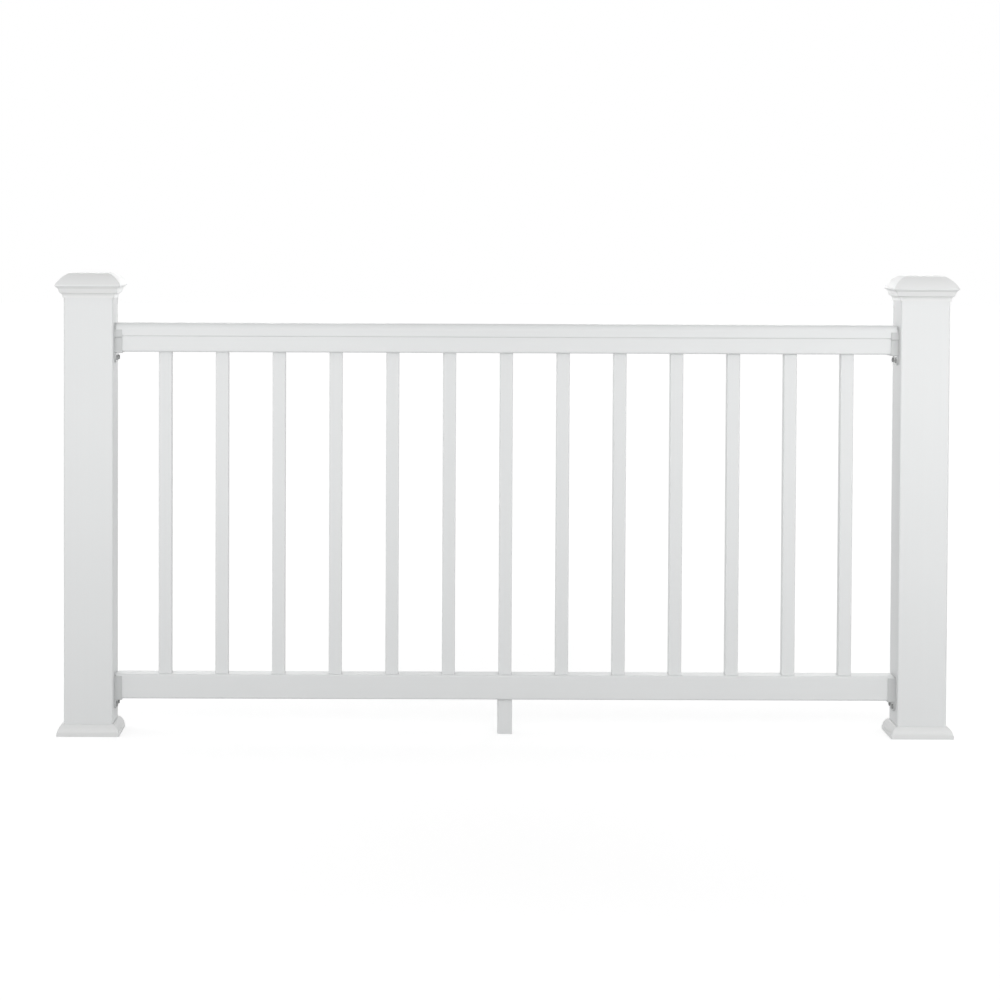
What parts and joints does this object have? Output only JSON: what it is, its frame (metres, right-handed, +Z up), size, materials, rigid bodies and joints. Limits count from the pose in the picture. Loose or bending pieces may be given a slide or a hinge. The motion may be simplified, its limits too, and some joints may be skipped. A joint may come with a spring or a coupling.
{
  "type": "composite railing section",
  "caption": "Straight white composite guard railing section: capped post sleeves with base skirts, moulded top rail, plain bottom rail, square balusters and a centre foot block.",
  "frame": {"origin": "centre of the left post sleeve's foot, on its flat lower end", "axes": "+X along the rails from the left post to the right one, -Y the front, +Z up"},
  "size_m": [1.9722, 0.1434, 1.0146],
  "materials": {
    "composite_white": "matt white capped composite with a faint brushed grain along each length",
    "moulded_white": "satin white moulding with a very fine pebble",
    "bracket_white": "off-white powder coat"
  },
  "bodies": {
    "root": {"left_post_sleeve": "composite_white", "left_post_cap": "moulded_white", "left_post_skirt": "moulded_white", "right_post_sleeve": "composite_white", "right_post_cap": "moulded_white", "right_post_skirt": "moulded_white", "top_rail": "composite_white", "bottom_rail": "composite_white", "foot_block": "composite_white", "top_left_bracket": "bracket_white", "top_right_bracket": "bracket_white", "bottom_left_bracket": "bracket_white", "bottom_right_bracket": "bracket_white", "baluster_01": "composite_white", "baluster_02": "composite_white", "baluster_03": "composite_white", "baluster_04": "composite_white", "baluster_05": "composite_white", "baluster_06": "composite_white", "baluster_07": "composite_white", "baluster_08": "composite_white", "baluster_09": "composite_white", "baluster_10": "composite_white", "baluster_11": "composite_white", "baluster_12": "composite_white", "baluster_13": "composite_white"}
  },
  "joints": []
}
